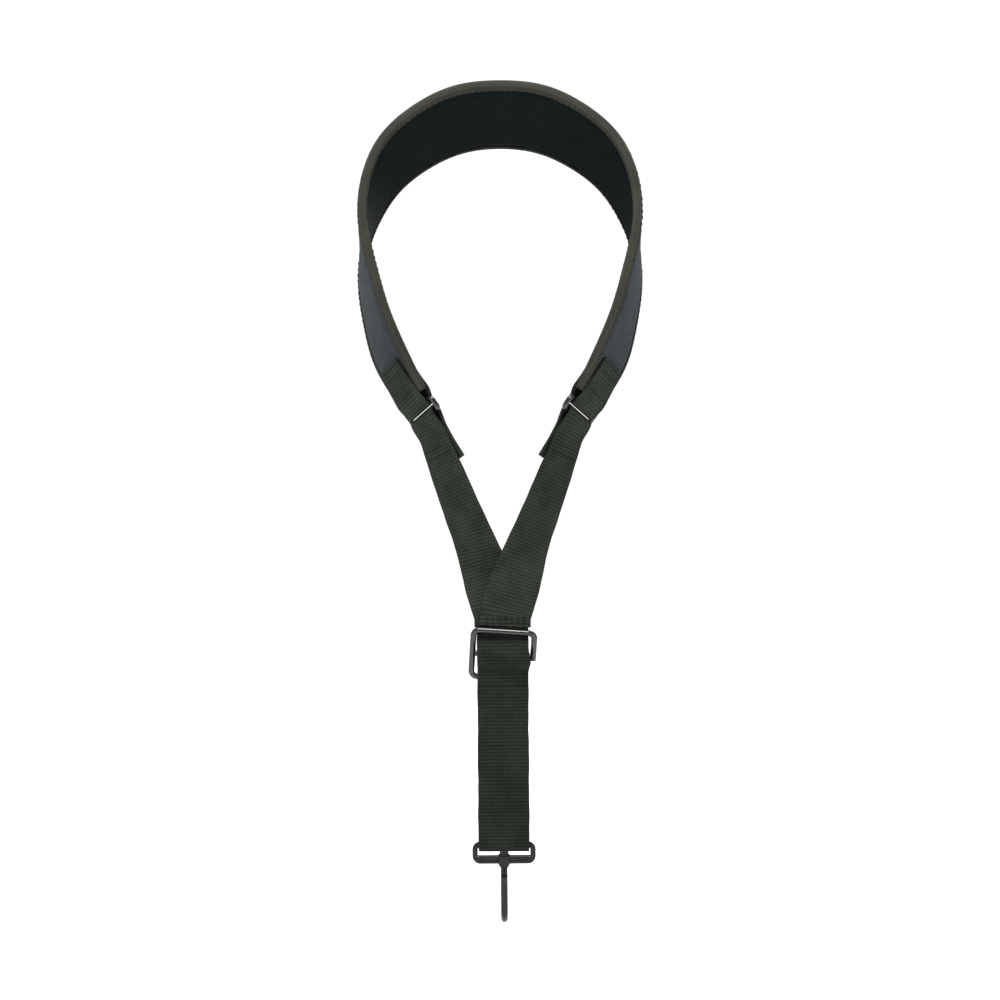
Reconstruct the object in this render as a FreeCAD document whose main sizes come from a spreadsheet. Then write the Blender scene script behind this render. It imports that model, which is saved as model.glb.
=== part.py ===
import FreeCAD, Part
import math
import os
from FreeCAD import Placement, Rotation, Vector

# Neck strap for a saxophone, hung as it is worn: +Z up, +X across the arch, -Y away from the
# wearer.  Millimetres.  The origin is the middle of the pad's lining at the
# top of the arch, which is where the strap sits on the neck.

DIMENSIONS = {
    "webbing_width": 25.4,
    "webbing_thickness": 1.4,
    "fit_gap": 0.1,
    "core_thickness": 1.9,
    "tape_thickness": 0.3,
    "skin_thickness": 0.55,
    "layer_gap": 0.05,
    "binding_thickness": 0.5,
    "binding_reach": 3.2,
    "tape_width": 20.0,
    "tab_gap": 5.0,
    "ring_wire": 2.6,
    "ring_width": 31.8,
    "ring_height": 8.7,
    "ring_corner": 1.7,
    "slider_wire": 3.0,
    "slider_width": 33.0,
    "slider_height": 26.9,
    "slider_corner": 3.0,
    "slider_tilt": 10.0,
    "slider_turn": 4.0,
    "loop_wire": 2.8,
    "loop_width": 31.4,
    "loop_height": 11.1,
    "loop_corner": 2.6,
    "loop_sleeve": 4.0,
    "loop_rail": 1.5,
    "boss_diameter": 6.0,
    "boss_height": 4.5,
    "stud_diameter": 2.6,
    "head_diameter": 4.6,
    "head_height": 1.1,
    "washer_diameter": 5.4,
    "washer_height": 0.5,
    "collar_diameter": 4.4,
    "collar_height": 0.8,
    "hook_wire": 3.5,
    "hook_bend": 7.3,
    "hook_offset_bend": 6.0,
    "hook_shank": 5.4,
    "hook_tip_rise": 12.2,
    "stitch_length": 2.4,
    "stitch_height": 0.35,
    "stitch_width": 0.7,
}

# The pad, from the top of the arch to the end of one arm: the middle of the thickness at the near
# edge (x, z), the same at the far edge (x, z), and half the distance between the edges along y.
PAD_STATIONS = [
    (0.0, 8.5, 0.0, -2.1, 29.8),
    (20.3, 6.3, 19.4, -4.5, 29.8),
    (39.0, -2.4, 36.9, -12.3, 29.5),
    (54.4, -16.2, 52.0, -24.2, 29.0),
    (62.7, -35.1, 62.9, -40.0, 28.5),
    (64.1, -55.2, 69.8, -58.3, 27.5),
    (59.9, -75.3, 71.2, -77.9, 26.0),
    (54.5, -94.2, 68.0, -98.6, 23.0),
    (46.8, -112.5, 61.6, -119.8, 17.8),
    (37.8, -131.3, 48.3, -140.5, 11.4),
]
PAD_SPANS = 36
TAB_SPANS = 2
TAB_STITCH_SHIFT = 14.0

VEE_ACROSS = Vector(0.76, -0.60, 0.27)
VEE_REACH = 63.0
SLIDER_CENTRE = Vector(0, 0.0, -262.4)
LOOP_BAR = Vector(0, 0, -355.7)
STACK_END = -248.2
UPPER_END = -252.0
LOWER_START = -278.0
FOLD_START = -351.0
MEETING = 0.2

ARC_STEPS = 14


def make_sheet(doc):
    """Put the driving dimensions in a spreadsheet, one alias each."""
    sheet = doc.addObject("Spreadsheet::Sheet", "Dims")
    for row, (name, value) in enumerate(DIMENSIONS.items(), start=1):
        sheet.set(f"A{row}", name)
        sheet.set(f"B{row}", str(value))
        sheet.setAlias(f"B{row}", name)
    doc.recompute()
    return sheet


def add_solid(doc, name, shape, label=None):
    """A piece whose shape comes from Part's own functions."""
    piece = doc.addObject("Part::Feature", name)
    piece.Shape = shape
    piece.Label = label or name
    return piece


# ---------------------------------------------------------------- straps


def unit(vector):
    """The vector at length one."""
    result = Vector(vector)
    result.normalize()
    return result


def frames(stations):
    """Turn (centre, across) pairs into (centre, along, across, out) frames."""
    result = []
    last = len(stations) - 1
    for index, (centre, across) in enumerate(stations):
        before = stations[max(index - 1, 0)][0]
        after = stations[min(index + 1, last)][0]
        along = unit(after - before)
        out = unit(along.cross(across))
        result.append((centre, along, unit(out.cross(along)), out))
    return result


def section(frame, outline):
    """A closed outline of (across, out) points, set in one frame."""
    centre, _, across, out = frame
    points = [centre + across * a + out * o for a, o in outline]
    return Part.makePolygon(points + points[:1])


def rectangle(half_width, low, high):
    """The outline of a flat strap between two heights of its own thickness."""
    return [(-half_width, low), (half_width, low), (half_width, high), (-half_width, high)]


def loft(strap_frames, outlines):
    """A solid through one outline per frame."""
    wires = [section(frame, outline) for frame, outline in zip(strap_frames, outlines)]
    return Part.makeLoft(wires, True, True)


def webbing(sheet, stations):
    """Webbing of full width and thickness along (centre, across) stations."""
    half_width = sheet.webbing_width / 2
    half_thickness = sheet.webbing_thickness / 2
    strap_frames = frames(stations)
    outline = rectangle(half_width, -half_thickness, half_thickness)
    return loft(strap_frames, [outline] * len(strap_frames))


def around(centre, first, second, radius, start, end):
    """Points of an arc from start to end degrees, in the plane of two directions."""
    points = []
    for step in range(ARC_STEPS + 1):
        angle = math.radians(start + (end - start) * step / ARC_STEPS)
        points.append(centre + first * (radius * math.cos(angle)) + second * (radius * math.sin(angle)))
    return points


def flat_path(points, across=Vector(1, 0, 0)):
    """Stations of a strap that lies across X or nearly so, from (y, z) points."""
    return [(Vector(0, y, z), across) for y, z in points]


# ---------------------------------------------------------------- pad


def edge_curve(side):
    """The curve of one edge of the pad, from the right arm's end over the top to the left's."""
    points = []
    for near_x, near_z, far_x, far_z, half_y in PAD_STATIONS:
        if side == "near":
            points.append(Vector(near_x, -half_y, near_z))
        else:
            points.append(Vector(far_x, half_y, far_z))
    mirrored = [Vector(-point.x, point.y, point.z) for point in points[1:]]
    curve = Part.BSplineCurve()
    curve.interpolate(Points=points[::-1] + mirrored, Parameters=knots())
    return curve


def knots():
    """One parameter per station, so that both edges are measured alike, from 0 to 1."""
    count = 2 * len(PAD_STATIONS) - 1
    return [index / (count - 1) for index in range(count)]


def pad_frames(near, far, start=0.0, end=1.0, spans=PAD_SPANS):
    """Frames of the pad, each with half its width, between two parameters."""
    result = []
    for index in range(spans + 1):
        place = start + (end - start) * index / spans
        near_point = near.value(place)
        far_point = far.value(place)
        along = unit(near.tangent(place)[0] + far.tangent(place)[0])
        out = unit(along.cross(near_point - far_point))
        centre = (near_point + far_point) / 2
        frame = (centre, along, unit(out.cross(along)), out)
        result.append((frame, (near_point - far_point).Length / 2))
    return result


def pad_layer(framed, inset, low, high):
    """One layer of the pad, inset from both edges."""
    outlines = [rectangle(half - inset, low, high) for _, half in framed]
    return loft([frame for frame, _ in framed], outlines)


def binding(framed, side, inner, reach, thickness):
    """A tape folded round one edge: a U whose mouth opens to the middle of the pad."""
    outer = inner + thickness
    outlines = []
    for _, half in framed:
        edge = side * half
        wall = side * (half - thickness)
        mouth = side * (half - reach)
        outline = [(mouth, outer), (edge, outer), (edge, -outer), (mouth, -outer)]
        outlines.append(outline + [(mouth, -inner), (wall, -inner), (wall, inner), (mouth, inner)])
    return loft([frame for frame, _ in framed], outlines)


def make_pad(doc, sheet, near, far):
    """Foam core, tape against stretch, cover, lining, and a binding along each edge."""
    gap = sheet.layer_gap
    low = -(sheet.core_thickness + sheet.tape_thickness + gap) / 2
    core_top = low + sheet.core_thickness
    tape_top = core_top + gap + sheet.tape_thickness
    inner = tape_top + gap + sheet.skin_thickness + gap
    inset = sheet.binding_thickness + gap
    whole = pad_frames(near, far)
    padded = whole[1:-1]
    taped = [(frame, sheet.tape_width / 2) for frame, _ in padded]
    skin_top = tape_top + gap + sheet.skin_thickness
    skin_bottom = low - gap - sheet.skin_thickness
    face = inner + sheet.binding_thickness
    add_solid(doc, "pad_core", pad_layer(padded, inset, low, core_top))
    add_solid(doc, "stretch_tape", pad_layer(taped, 0, core_top + gap, tape_top))
    add_solid(doc, "pad_cover", pad_layer(whole, inset, tape_top + gap, skin_top))
    add_solid(doc, "pad_lining", pad_layer(whole, inset, skin_bottom, low - gap))
    for name, side in (("binding_near", 1), ("binding_far", -1)):
        shape = binding(whole, side, inner, sheet.binding_reach, sheet.binding_thickness)
        add_solid(doc, name, shape)
    return face


# ---------------------------------------------------------------- tabs, rings and front webs


def end_frame(near, far):
    """The frame at the left arm's end."""
    return pad_frames(near, far)[-1][0]


def make_tab(doc, sheet, near, far, face):
    """Webbing sewn over and under the arm's end and folded round the ring's upper bar."""
    centre, along, across, out = end_frame(near, far)
    bar = centre + along * sheet.tab_gap
    half = sheet.webbing_thickness / 2
    radius = sheet.ring_wire / 2 + sheet.fit_gap + half
    lay = face + half + 2 * sheet.layer_gap
    held = pad_frames(near, far)[-1 - TAB_SPANS:]
    upper = [(point + normal * lay, side) for (point, _, side, normal), _ in held]
    lower = [(point - normal * lay, side) for (point, _, side, normal), _ in held]
    fold = [(point, across) for point in around(bar, out, along, radius, -20, 200)]
    shape = webbing(sheet, upper + fold + lower[::-1])
    add_solid(doc, "tab_left", shape)


def round_bar(doc, name, length, wire, x, y, turn):
    """A straight bar of a bent-wire frame, centred at (x, y) in the frame's own plane."""
    bar = doc.addObject("Part::Cylinder", name)
    bar.setExpression("Radius", f"{wire} / 2")
    bar.setExpression("Height", length)
    bar.Placement = Placement(Vector(), Rotation(Vector(0, 1, 0), 90) if turn else
                              Rotation(Vector(1, 0, 0), -90))
    bar.setExpression("Placement.Base.x", x)
    bar.setExpression("Placement.Base.y", y)
    return bar


def wire_frame(doc, name, kind):
    """A rectangle of round wire with bent corners, in the XY plane, from the kind's dimensions."""
    wire = f"Dims.{kind}_wire"
    corner = f"Dims.{kind}_corner"
    half_x = f"(Dims.{kind}_width - {wire}) / 2"
    half_y = f"(Dims.{kind}_height - {wire}) / 2"
    pieces = []
    for sign in ("-", ""):
        tag = "low" if sign else "high"
        run = f"2 * ({half_x} - {corner})"
        pieces.append(round_bar(doc, f"{name}_{tag}_bar", run, wire,
                                f"-({half_x} - {corner})", f"{sign}({half_y})", True))
        rise = f"2 * ({half_y} - {corner})"
        pieces.append(round_bar(doc, f"{name}_{tag}_side", rise, wire,
                                f"{sign}({half_x})", f"-({half_y} - {corner})", False))
    for quarter, (x_sign, y_sign) in enumerate((("", ""), ("-", ""), ("-", "-"), ("", "-"))):
        bend = doc.addObject("Part::Torus", f"{name}_bend_{quarter}")
        bend.setExpression("Radius1", corner)
        bend.setExpression("Radius2", f"{wire} / 2")
        bend.Angle3 = 90
        bend.Placement = Placement(Vector(), Rotation(Vector(0, 0, 1), 90 * quarter))
        bend.setExpression("Placement.Base.x", f"{x_sign}({half_x} - {corner})")
        bend.setExpression("Placement.Base.y", f"{y_sign}({half_y} - {corner})")
        pieces.append(bend)
    frame = doc.addObject("Part::MultiFuse", name)
    frame.Shapes = pieces
    frame.Label = name
    return frame


def axes_placement(origin, x_axis, y_axis):
    """The placement that lays a piece's X and Y along two directions."""
    matrix = FreeCAD.Matrix()
    z_axis = unit(x_axis.cross(y_axis))
    for column, axis in enumerate((unit(x_axis), unit(y_axis), z_axis, origin)):
        for row, value in enumerate((axis.x, axis.y, axis.z)):
            setattr(matrix, f"A{row + 1}{column + 1}", value)
    return Placement(matrix)


def make_ring(doc, sheet, near, far):
    """The left wire ring: one bar in the tab's fold, the other in the front web's."""
    centre, along, across, _ = end_frame(near, far)
    ring = wire_frame(doc, "ring_left", "ring")
    spacing = sheet.ring_height - sheet.ring_wire
    middle = centre + along * (sheet.tab_gap + spacing / 2)
    ring.Placement = axes_placement(middle, across, along)
    return centre + along * (sheet.tab_gap + spacing)


def front_route(bar, across, side):
    """Centres and cross directions of a front web, from its ring to the end of the stack."""
    vee = Vector(-11.6, 0, -212.0)
    along = unit(vee - bar)
    straight = [(bar + along * reach, twisted(across, reach)) for reach in (10, 16, 23, 36, 50)]
    depth = 1 if side == "left" else -1
    lean = [
        (Vector(-14.1, 0.4 + 0.6 * depth, -205.0), VEE_ACROSS),
        (Vector(-10.1, 0.6 + 2.0 * depth, -216.0), Vector(0.88, -0.42, 0.22)),
        (Vector(-7.0, 0.6 + 2.0 * depth, -225.0), Vector(0.97, -0.20, 0.12)),
        (Vector(-4.2, 0.5 + 1.2 * depth, -234.0), Vector(1, -0.04, 0.02)),
        (Vector(-1.7, 0.4 + 0.78 * depth, -243.0), Vector(1, 0, 0)),
        (Vector(-1.4, 0.4 + 0.78 * depth, -245.5), Vector(1, 0, 0)),
        (Vector(-1.4, 0.4 + 0.78 * depth, STACK_END), Vector(1, 0, 0)),
    ]
    return straight + lean


def twisted(across, reach):
    """The cross direction of a front web, which turns evenly from its ring to the crossing."""
    return unit(across + (VEE_ACROSS - across) * (reach / VEE_REACH))


def web_loop_route(sheet, bar, across, vee_along, ring_across):
    """The fold round the ring's lower bar, and the tail doubled back along the web."""
    half = sheet.webbing_thickness / 2
    radius = sheet.ring_wire / 2 + sheet.fit_gap + half
    out = unit(vee_along.cross(ring_across))
    back = unit(out.cross(ring_across))
    fold = [(point, ring_across) for point in around(bar, out, back, radius, -12, 184)]
    lay = sheet.webbing_thickness + sheet.layer_gap
    tail = []
    for reach in (10, 17, 25):
        side = twisted(across, reach)
        tail.append((bar + vee_along * reach - unit(vee_along.cross(side)) * lay, side))
    return [(bar + vee_along * 9.7, twisted(across, 9.7))] + fold + tail


def make_front_webs(doc, sheet, near, far, bar):
    """A web from each ring to the stack, with its fold and sewn tail."""
    _, _, ring_across, _ = end_frame(near, far)
    vee_along = unit(Vector(-11.6, 0, -212.0) - bar)
    out = unit(vee_along.cross(ring_across))
    across = unit(out.cross(vee_along))
    for side in ("left", "right"):
        web = front_route(bar, across, side)
        loop = web_loop_route(sheet, bar, across, vee_along, ring_across)
        if side == "right":
            web = mirrored(web)
            loop = mirrored(loop)
        add_solid(doc, f"front_web_{side}", webbing(sheet, web))
        add_solid(doc, f"web_loop_{side}", webbing(sheet, loop))
    return across, out, vee_along


def mirrored(stations):
    """The same stations on the other arm."""
    return [(Vector(-c.x, c.y, c.z), Vector(-a.x, a.y, a.z)) for c, a in stations]


def mirror_piece(doc, source, name):
    """The right-hand copy of a left-hand piece."""
    copy = doc.addObject("Part::Mirroring", name)
    copy.Source = source
    copy.Normal = Vector(1, 0, 0)
    copy.Label = name
    return copy


# ---------------------------------------------------------------- stitching


def stitch_row(sheet, origin, across, along, count, pitch):
    """Short threads in a row across a strap, standing on its face."""
    threads = []
    place = axes_placement(origin, across, along)
    for index in range(count):
        thread = Part.makeBox(sheet.stitch_length, sheet.stitch_width, sheet.stitch_height)
        start = (index - (count - 1) / 2) * pitch - sheet.stitch_length / 2
        thread.translate(Vector(start, -sheet.stitch_width / 2, 0))
        thread.Placement = place.multiply(thread.Placement)
        threads.append(thread)
    return threads


def make_stitches(doc, sheet, near, far, bar, web_frame, face):
    """The sewing of each tab, of each doubled tail, and of the stack above the slider."""
    lift = sheet.layer_gap
    pitch = sheet.stitch_length + 0.6
    threads = []
    for (centre, along, across, out), _ in pad_frames(near, far)[-2 * TAB_SPANS:-TAB_SPANS]:
        start = centre + out * (face + sheet.webbing_thickness + 6 * lift) + along * TAB_STITCH_SHIFT
        threads += stitch_row(sheet, start, across, along * -1, 6, pitch)
    tab = add_solid(doc, "tab_stitch_left", Part.makeCompound(threads))
    across, out, along = web_frame
    threads = []
    for reach in (16.0, 20.0):
        side = twisted(across, reach)
        face_out = unit(along.cross(side))
        start = bar + along * reach + face_out * (sheet.webbing_thickness / 2 + 2 * lift)
        threads += stitch_row(sheet, start, side, along * -1, 7, pitch)
    tail = add_solid(doc, "tail_stitch_left", Part.makeCompound(threads))
    for source, name in ((tab, "tab_stitch_right"), (tail, "tail_stitch_right")):
        mirror_piece(doc, source, name)
    threads = []
    for height in (-246.4, -244.2):
        start = Vector(1.4, 0.4 - 0.78 - sheet.webbing_thickness / 2 - lift, height)
        threads += stitch_row(sheet, start, Vector(1, 0, 0), Vector(0, 0, 1), 7, pitch)
    add_solid(doc, "stack_stitch", Part.makeCompound(threads))


# ---------------------------------------------------------------- slider


def slider_axes(sheet):
    """The directions of the slider's bars and of its sides."""
    turn = Rotation(Vector(0, 1, 0), sheet.slider_turn)
    tilt = Rotation(Vector(1, 0, 0), sheet.slider_tilt)
    return turn.multVec(Vector(1, 0, 0)), turn.multVec(tilt.multVec(Vector(0, 0, 1)))


def slider_bars(sheet):
    """The (y, z) centres of the slider's top, middle and bottom bars."""
    half = (sheet.slider_height - sheet.slider_wire) / 2
    tilt = math.radians(sheet.slider_tilt)
    lean = Vector(0, -math.sin(tilt), math.cos(tilt)) * half
    return SLIDER_CENTRE + lean, Vector(SLIDER_CENTRE), SLIDER_CENTRE - lean


def make_slider(doc, sheet):
    """The wire frame, open at one side below its middle bar, and leaning forward at the top."""
    x_axis, y_axis = slider_axes(sheet)
    whole = wire_frame(doc, "slider_wire_frame", "slider")
    whole.Placement = axes_placement(SLIDER_CENTRE, x_axis, y_axis)
    gap = doc.addObject("Part::Box", "slider_side_gap")
    gap.Length = gap.Height = 2 * sheet.slider_wire
    gap.Width = sheet.slider_height / 2 - sheet.slider_wire / 2 + 0.7
    corner = x_axis * (sheet.slider_width / 2 - sheet.slider_wire - 0.1)
    corner -= y_axis * (sheet.slider_height / 2 + 1) + unit(x_axis.cross(y_axis)) * sheet.slider_wire
    gap.Placement = axes_placement(SLIDER_CENTRE + corner, x_axis, y_axis)
    frame = doc.addObject("Part::Cut", "slider_frame")
    frame.Base = whole
    frame.Tool = gap
    frame.Label = "slider_frame"
    bar = doc.addObject("Part::Cylinder", "slider_bar")
    bar.setExpression("Radius", "Dims.slider_wire / 2")
    bar.setExpression("Height", "Dims.slider_width - 2 * Dims.slider_wire")
    half = (sheet.slider_width - 2 * sheet.slider_wire) / 2
    bar.Placement = axes_placement(SLIDER_CENTRE - x_axis * half, y_axis, y_axis.cross(x_axis) * -1)
    bar.Label = "slider_bar"


def wrap_radius(sheet, layers):
    """The middle radius of the outermost of so many layers round a slider bar."""
    layer = sheet.webbing_thickness + sheet.fit_gap
    return sheet.slider_wire / 2 + layers * layer - sheet.webbing_thickness / 2


def make_slider_webs(doc, sheet):
    """The web through the slider, and its end sewn round the middle bar."""
    top, middle, bottom = slider_bars(sheet)
    bar_axis, _ = slider_axes(sheet)
    single = wrap_radius(sheet, 1)
    double = wrap_radius(sheet, 2)
    front = [(0.45, UPPER_END), (0.35, top.z - 3.0), (-1.7, top.z - 6.2)]
    front += [(middle.y - double * 0.92, middle.z + 2.6), (middle.y - double - 0.1, middle.z)]
    front += [(middle.y - double * 0.92, middle.z - 4.0), (bottom.y - single - 0.6, bottom.z + 4.0)]
    front += [(bottom.y - single, bottom.z), (front_depth(sheet), LOWER_START)]
    add_solid(doc, "slider_web", webbing(sheet, flat_path(front, bar_axis)))
    ring = around(middle, Vector(0, 1, 0), Vector(0, 0, 1), single, 13, 195)
    wrap = [(back_depth(sheet), LOWER_START), (bottom.y + single, bottom.z)]
    wrap += [(bottom.y + single - 0.2, bottom.z + 4.5)]
    wrap += [(point.y, point.z) for point in ring]
    wrap += [(middle.y - single * 0.45, middle.z - 3.4), (middle.y + 0.5, middle.z - 6.6)]
    add_solid(doc, "bar_wrap", webbing(sheet, flat_path(wrap, bar_axis)))
    upper = [(0.45, STACK_END - MEETING), (0.45, UPPER_END + MEETING)]
    add_solid(doc, "drop_web_upper", webbing(sheet, flat_path(upper)))


def front_depth(sheet):
    """Where the front layer leaves the slider."""
    return slider_bars(sheet)[2].y - wrap_radius(sheet, 1) - 0.1


def back_depth(sheet):
    """Where the back layer reaches the slider."""
    return slider_bars(sheet)[2].y + wrap_radius(sheet, 1)


# ---------------------------------------------------------------- drop web, loop and hook


def make_drop_web(doc, sheet):
    """The two hanging layers, and the fold that carries the hook's loop."""
    radius = sheet.loop_sleeve / 2 + sheet.fit_gap + sheet.webbing_thickness / 2
    for name, depth, side in (("drop_web_front", front_depth(sheet), -1),
                              ("drop_web_back", back_depth(sheet), 1)):
        run = [(depth, LOWER_START - MEETING), (side * radius, FOLD_START + MEETING)]
        add_solid(doc, name, webbing(sheet, flat_path(run)))
    turn = around(LOOP_BAR, Vector(0, -1, 0), Vector(0, 0, -1), radius, 0, 180)
    fold = [(-radius, FOLD_START)] + [(point.y, point.z) for point in turn] + [(radius, FOLD_START)]
    add_solid(doc, "web_fold", webbing(sheet, flat_path(fold)))


def make_hook_loop(doc, sheet):
    """A cast loop: a thick upper bar in the fold, a deep lower one, and a bored boss in its middle."""
    frame = wire_frame(doc, "loop_wire_frame", "loop")
    spacing = sheet.loop_height - sheet.loop_wire
    upright = axes_placement(LOOP_BAR - Vector(0, 0, spacing / 2), Vector(1, 0, 0), Vector(0, 0, 1))
    frame.Placement = upright
    inside = sheet.loop_width - sheet.loop_wire
    thick = []
    for name, wire, depth, straight in (
            ("loop_sleeve_bar", "sleeve", 0, inside - 2 * sheet.loop_corner),
            ("loop_rail_bar", "wire", spacing - sheet.loop_rail, inside - 0.8)):
        bar = doc.addObject("Part::Cylinder", name)
        bar.setExpression("Radius", f"Dims.loop_{wire} / 2")
        bar.Height = straight
        bar.Placement = axes_placement(LOOP_BAR - Vector(straight / 2, 0, depth), Vector(0, 1, 0), Vector(0, 0, 1))
        thick.append(bar)
    boss_middle = LOOP_BAR.z - spacing - sheet.loop_wire / 2 - 0.1 + sheet.boss_height / 2
    boss = doc.addObject("Part::Cylinder", "loop_boss")
    boss.setExpression("Radius", "Dims.boss_diameter / 2")
    boss.setExpression("Height", "Dims.boss_height")
    boss.Placement.Base = Vector(0, 0, boss_middle - sheet.boss_height / 2)
    body = doc.addObject("Part::MultiFuse", "loop_body")
    body.Shapes = [frame, boss] + thick
    bore = doc.addObject("Part::Cylinder", "loop_bore")
    bore.setExpression("Radius", "Dims.stud_diameter / 2 + Dims.fit_gap")
    bore.setExpression("Height", "3 * Dims.boss_height")
    bore.Placement.Base = Vector(0, 0, boss_middle - 1.5 * sheet.boss_height)
    loop = doc.addObject("Part::Cut", "hook_loop")
    loop.Base = body
    loop.Tool = bore
    loop.Label = "hook_loop"
    return boss_middle - sheet.boss_height / 2, boss_middle + sheet.boss_height / 2


def disc(doc, name, kind, bottom, bored):
    """A round piece on the swivel's axis, bored for the stud where it is loose."""
    body = doc.addObject("Part::Cylinder", f"{name}_blank")
    body.setExpression("Radius", f"Dims.{kind}_diameter / 2")
    body.setExpression("Height", f"Dims.{kind}_height")
    body.Placement.Base = Vector(0, 0, bottom)
    hole = doc.addObject("Part::Cylinder", f"{name}_hole")
    hole.setExpression("Radius", f"Dims.stud_diameter / 2 + {bored}")
    hole.setExpression("Height", f"3 * Dims.{kind}_height")
    hole.setExpression("Placement.Base.z", f"{bottom} - Dims.{kind}_height")
    piece = doc.addObject("Part::Cut", name)
    piece.Base = body
    piece.Tool = hole
    piece.Label = name
    return piece


def make_hook(doc, sheet, boss_bottom, boss_top):
    """The stud, its head and washer, and the open J below them."""
    gap = sheet.fit_gap
    head_bottom = boss_top + gap
    disc(doc, "stud_head", "head", head_bottom, 0.0)
    washer_bottom = boss_bottom - gap - sheet.washer_height
    disc(doc, "swivel_washer", "washer", washer_bottom, "Dims.fit_gap")
    collar = doc.addObject("Part::Cylinder", "hook_collar")
    collar.setExpression("Radius", "Dims.collar_diameter / 2")
    collar.setExpression("Height", "Dims.collar_height")
    collar_bottom = washer_bottom - sheet.collar_height
    collar.Placement.Base = Vector(0, 0, collar_bottom)
    stud = doc.addObject("Part::Cylinder", "hook_stud")
    stud.setExpression("Radius", "Dims.stud_diameter / 2")
    stud.Height = head_bottom + sheet.head_height - collar_bottom
    stud.Placement.Base = Vector(0, 0, collar_bottom)
    bend = add_solid(doc, "hook_bend", hook_bend(sheet, collar_bottom + 0.6))
    hook = doc.addObject("Part::MultiFuse", "hook")
    hook.Shapes = [collar, stud, bend]
    hook.Label = "hook"


def hook_bend(sheet, top):
    """Round wire: an S that sets the shank back, the bend under the stud's axis, and the tip."""
    radius = sheet.hook_bend
    small = sheet.hook_offset_bend
    swing = math.acos(1 - radius / (2 * small))
    drop = 2 * small * math.sin(swing)
    neck = top - 2.0
    shank_top = neck - drop
    centre_z = shank_top - sheet.hook_shank
    half_turn = Vector(0, small * (1 - math.cos(swing)), neck - small * math.sin(swing))
    quarter = swing / 2
    first_mid = Vector(0, small * (1 - math.cos(quarter)), neck - small * math.sin(quarter))
    second_mid = Vector(0, radius - first_mid.y, shank_top - (first_mid.z - neck))
    tip = Vector(0, -radius, centre_z + sheet.hook_tip_rise)
    flare = Vector(0, -radius - 1.1, centre_z + sheet.hook_tip_rise + 4.0)
    start = Vector(0, 0, top)
    neck_point = Vector(0, 0, neck)
    shank_point = Vector(0, radius, shank_top)
    bend_start = Vector(0, radius, centre_z)
    bend_end = Vector(0, -radius, centre_z)
    bend_low = Vector(0, 0, centre_z - radius)
    flare_mid = (tip + flare) / 2 + Vector(0, 0.12, 0)
    edges = [
        Part.LineSegment(start, neck_point),
        Part.Arc(neck_point, first_mid, half_turn),
        Part.Arc(half_turn, second_mid, shank_point),
        Part.LineSegment(shank_point, bend_start),
        Part.Arc(bend_start, bend_low, bend_end),
        Part.LineSegment(bend_end, tip),
        Part.Arc(tip, flare_mid, flare),
    ]
    path = Part.Wire([edge.toShape() for edge in edges])
    profile = Part.Wire([Part.makeCircle(sheet.hook_wire / 2, start, Vector(0, 0, 1))])
    return path.makePipeShell([profile], True, True)


# ---------------------------------------------------------------- all of it

NODES = [
    "pad_core", "stretch_tape", "pad_cover", "pad_lining", "binding_near", "binding_far",
    "tab_left", "tab_right", "tab_stitch_left", "tab_stitch_right", "ring_left", "ring_right",
    "front_web_left", "front_web_right", "web_loop_left", "web_loop_right",
    "tail_stitch_left", "tail_stitch_right", "stack_stitch", "drop_web_upper",
    "slider_frame", "slider_bar", "slider_web", "bar_wrap",
    "drop_web_front", "drop_web_back", "web_fold",
    "hook_loop", "stud_head", "swivel_washer", "hook",
]


def check(doc):
    """Stop if anything failed to build."""
    for item in doc.Objects:
        if "Invalid" in item.State or "Error" in item.State:
            raise RuntimeError(f"{item.Label} failed: {item.State}")
    for name in NODES:
        shape = doc.getObject(name).Shape
        if shape.isNull() or not shape.isValid() or shape.Volume <= 0:
            raise RuntimeError(f"{name} has no valid solid")


def export(doc):
    """One file per sub-part."""
    os.makedirs("parts", exist_ok=True)
    for name in NODES:
        piece = doc.getObject(name)
        piece.Shape.exportStep(f"parts/{piece.Label}.step")


def main():
    doc = FreeCAD.newDocument("NeckStrap")
    sheet = make_sheet(doc)
    near = edge_curve("near")
    far = edge_curve("far")
    face = make_pad(doc, sheet, near, far)
    make_tab(doc, sheet, near, far, face)
    bar = make_ring(doc, sheet, near, far)
    web_frame = make_front_webs(doc, sheet, near, far, bar)
    make_stitches(doc, sheet, near, far, bar, web_frame, face)
    make_slider(doc, sheet)
    make_slider_webs(doc, sheet)
    make_drop_web(doc, sheet)
    boss_bottom, boss_top = make_hook_loop(doc, sheet)
    make_hook(doc, sheet, boss_bottom, boss_top)
    for left in ("tab_left", "ring_left"):
        mirror_piece(doc, doc.getObject(left), left.replace("left", "right"))
    doc.recompute()
    check(doc)
    export(doc)


main()
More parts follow.
